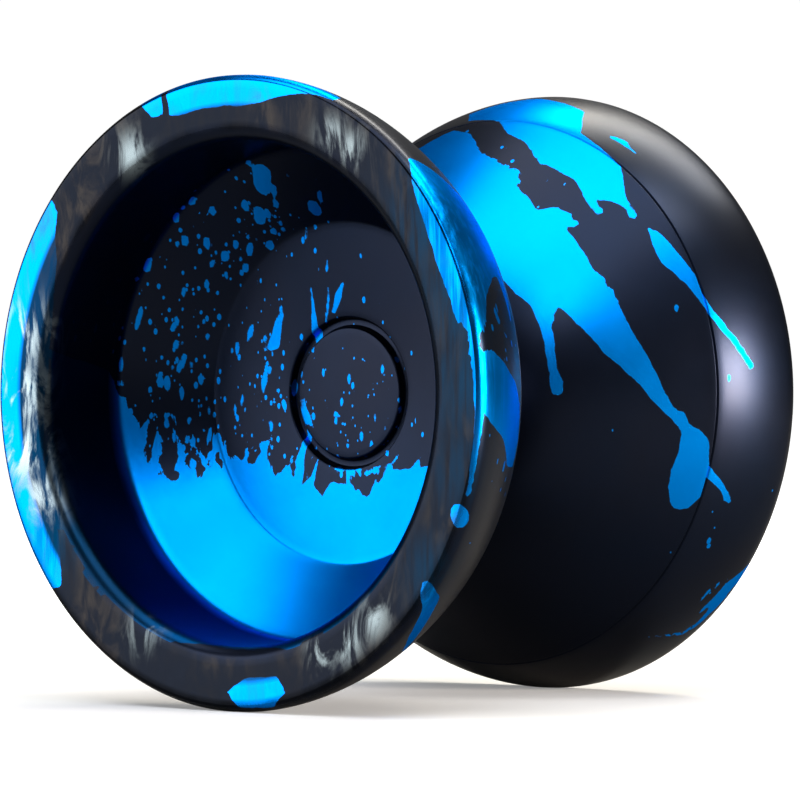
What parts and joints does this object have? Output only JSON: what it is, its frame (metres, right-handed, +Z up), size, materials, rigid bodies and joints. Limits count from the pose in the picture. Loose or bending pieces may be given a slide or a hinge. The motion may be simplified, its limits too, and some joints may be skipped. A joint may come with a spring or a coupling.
{
  "type": "yo-yo",
  "caption": "Take-apart metal yo-yo: flared, hollow-cupped halves screwed together on a short axle around a ball bearing, black with blue splashes.",
  "frame": {"origin": "centre of the ball bearing, which is the middle of the string gap on the spin axis", "axes": "+Y along the spin axis towards the rear half, +Z up with the yo-yo standing on its two rims; the front half's cup opens towards -Y"},
  "size_m": [0.0558, 0.047, 0.0558],
  "materials": {
    "anodised": "fine blasted and anodised black with blue splashes; the faces of the rims are polished first and stay glossy",
    "silicone": "matt cast silicone",
    "black_steel": "black oxide with an oily sheen",
    "bearing_steel": "ground and polished",
    "shield_steel": "stamped sheet, lightly brushed",
    "ball_steel": "mirror polished",
    "cage_steel": "pressed strip, satin"
  },
  "bodies": {
    "front_half": {"front_half": "anodised", "axle": "black_steel", "front_pad": "silicone", "bearing_inner_race": "bearing_steel"},
    "string_race": {"bearing_outer_race": "bearing_steel", "front_shield": "shield_steel", "rear_shield": "shield_steel", "front_snap_ring": "shield_steel", "rear_snap_ring": "shield_steel"},
    "ball_cage": {"ball_cage": "cage_steel"},
    "ball_01": {"ball_01": "ball_steel"},
    "ball_02": {"ball_02": "ball_steel"},
    "ball_03": {"ball_03": "ball_steel"},
    "ball_04": {"ball_04": "ball_steel"},
    "ball_05": {"ball_05": "ball_steel"},
    "ball_06": {"ball_06": "ball_steel"},
    "ball_07": {"ball_07": "ball_steel"},
    "ball_08": {"ball_08": "ball_steel"},
    "ball_09": {"ball_09": "ball_steel"},
    "ball_10": {"ball_10": "ball_steel"},
    "rear_pad": {"rear_pad": "silicone"},
    "rear_half": {"rear_half": "anodised"}
  },
  "joints": [
    {"name": "bearing_spin", "type": "hinge", "parent": "front_half", "child": "string_race", "pos_m": [0, 0, 0], "axis": [0, 1, 0], "continuous": true},
    {"name": "cage_orbit", "type": "hinge", "parent": "front_half", "child": "ball_cage", "pos_m": [0, 0, 0], "axis": [0, 1, 0], "continuous": true},
    {"name": "ball_01_roll", "type": "hinge", "parent": "ball_cage", "child": "ball_01", "pos_m": [0.00476, 0, 0], "axis": [0, 1, 0], "continuous": true},
    {"name": "ball_02_roll", "type": "hinge", "parent": "ball_cage", "child": "ball_02", "pos_m": [0.00385, 0, 0.0028], "axis": [0, 1, 0], "continuous": true},
    {"name": "ball_03_roll", "type": "hinge", "parent": "ball_cage", "child": "ball_03", "pos_m": [0.00147, 0, 0.00453], "axis": [0, 1, 0], "continuous": true},
    {"name": "ball_04_roll", "type": "hinge", "parent": "ball_cage", "child": "ball_04", "pos_m": [-0.00147, 0, 0.00453], "axis": [0, 1, 0], "continuous": true},
    {"name": "ball_05_roll", "type": "hinge", "parent": "ball_cage", "child": "ball_05", "pos_m": [-0.00385, 0, 0.0028], "axis": [0, 1, 0], "continuous": true},
    {"name": "ball_06_roll", "type": "hinge", "parent": "ball_cage", "child": "ball_06", "pos_m": [-0.00476, 0, 0], "axis": [0, 1, 0], "continuous": true},
    {"name": "ball_07_roll", "type": "hinge", "parent": "ball_cage", "child": "ball_07", "pos_m": [-0.00385, 0, -0.0028], "axis": [0, 1, 0], "continuous": true},
    {"name": "ball_08_roll", "type": "hinge", "parent": "ball_cage", "child": "ball_08", "pos_m": [-0.00147, 0, -0.00453], "axis": [0, 1, 0], "continuous": true},
    {"name": "ball_09_roll", "type": "hinge", "parent": "ball_cage", "child": "ball_09", "pos_m": [0.00147, 0, -0.00453], "axis": [0, 1, 0], "continuous": true},
    {"name": "ball_10_roll", "type": "hinge", "parent": "ball_cage", "child": "ball_10", "pos_m": [0.00385, 0, -0.0028], "axis": [0, 1, 0], "continuous": true},
    {"name": "unscrew_travel", "type": "slide", "parent": "front_half", "child": "rear_pad", "axis": [0, 1, 0], "range_m": [0, 0.00491]},
    {"name": "unscrew", "type": "hinge", "parent": "rear_pad", "child": "rear_half", "pos_m": [0, 0, 0], "axis": [0, 1, 0], "range_deg": [0, 2520]}
  ],
  "couplings": [
    {"joint": "cage_orbit", "follows": "bearing_spin", "ratio": 0.60415},
    {"joint": "ball_01_roll", "follows": "bearing_spin", "ratio": 2.2963},
    {"joint": "ball_02_roll", "follows": "bearing_spin", "ratio": 2.2963},
    {"joint": "ball_03_roll", "follows": "bearing_spin", "ratio": 2.2963},
    {"joint": "ball_04_roll", "follows": "bearing_spin", "ratio": 2.2963},
    {"joint": "ball_05_roll", "follows": "bearing_spin", "ratio": 2.2963},
    {"joint": "ball_06_roll", "follows": "bearing_spin", "ratio": 2.2963},
    {"joint": "ball_07_roll", "follows": "bearing_spin", "ratio": 2.2963},
    {"joint": "ball_08_roll", "follows": "bearing_spin", "ratio": 2.2963},
    {"joint": "ball_09_roll", "follows": "bearing_spin", "ratio": 2.2963},
    {"joint": "ball_10_roll", "follows": "bearing_spin", "ratio": 2.2963},
    {"joint": "unscrew_travel", "follows": "unscrew", "m_per_rad": 0.00011141}
  ]
}
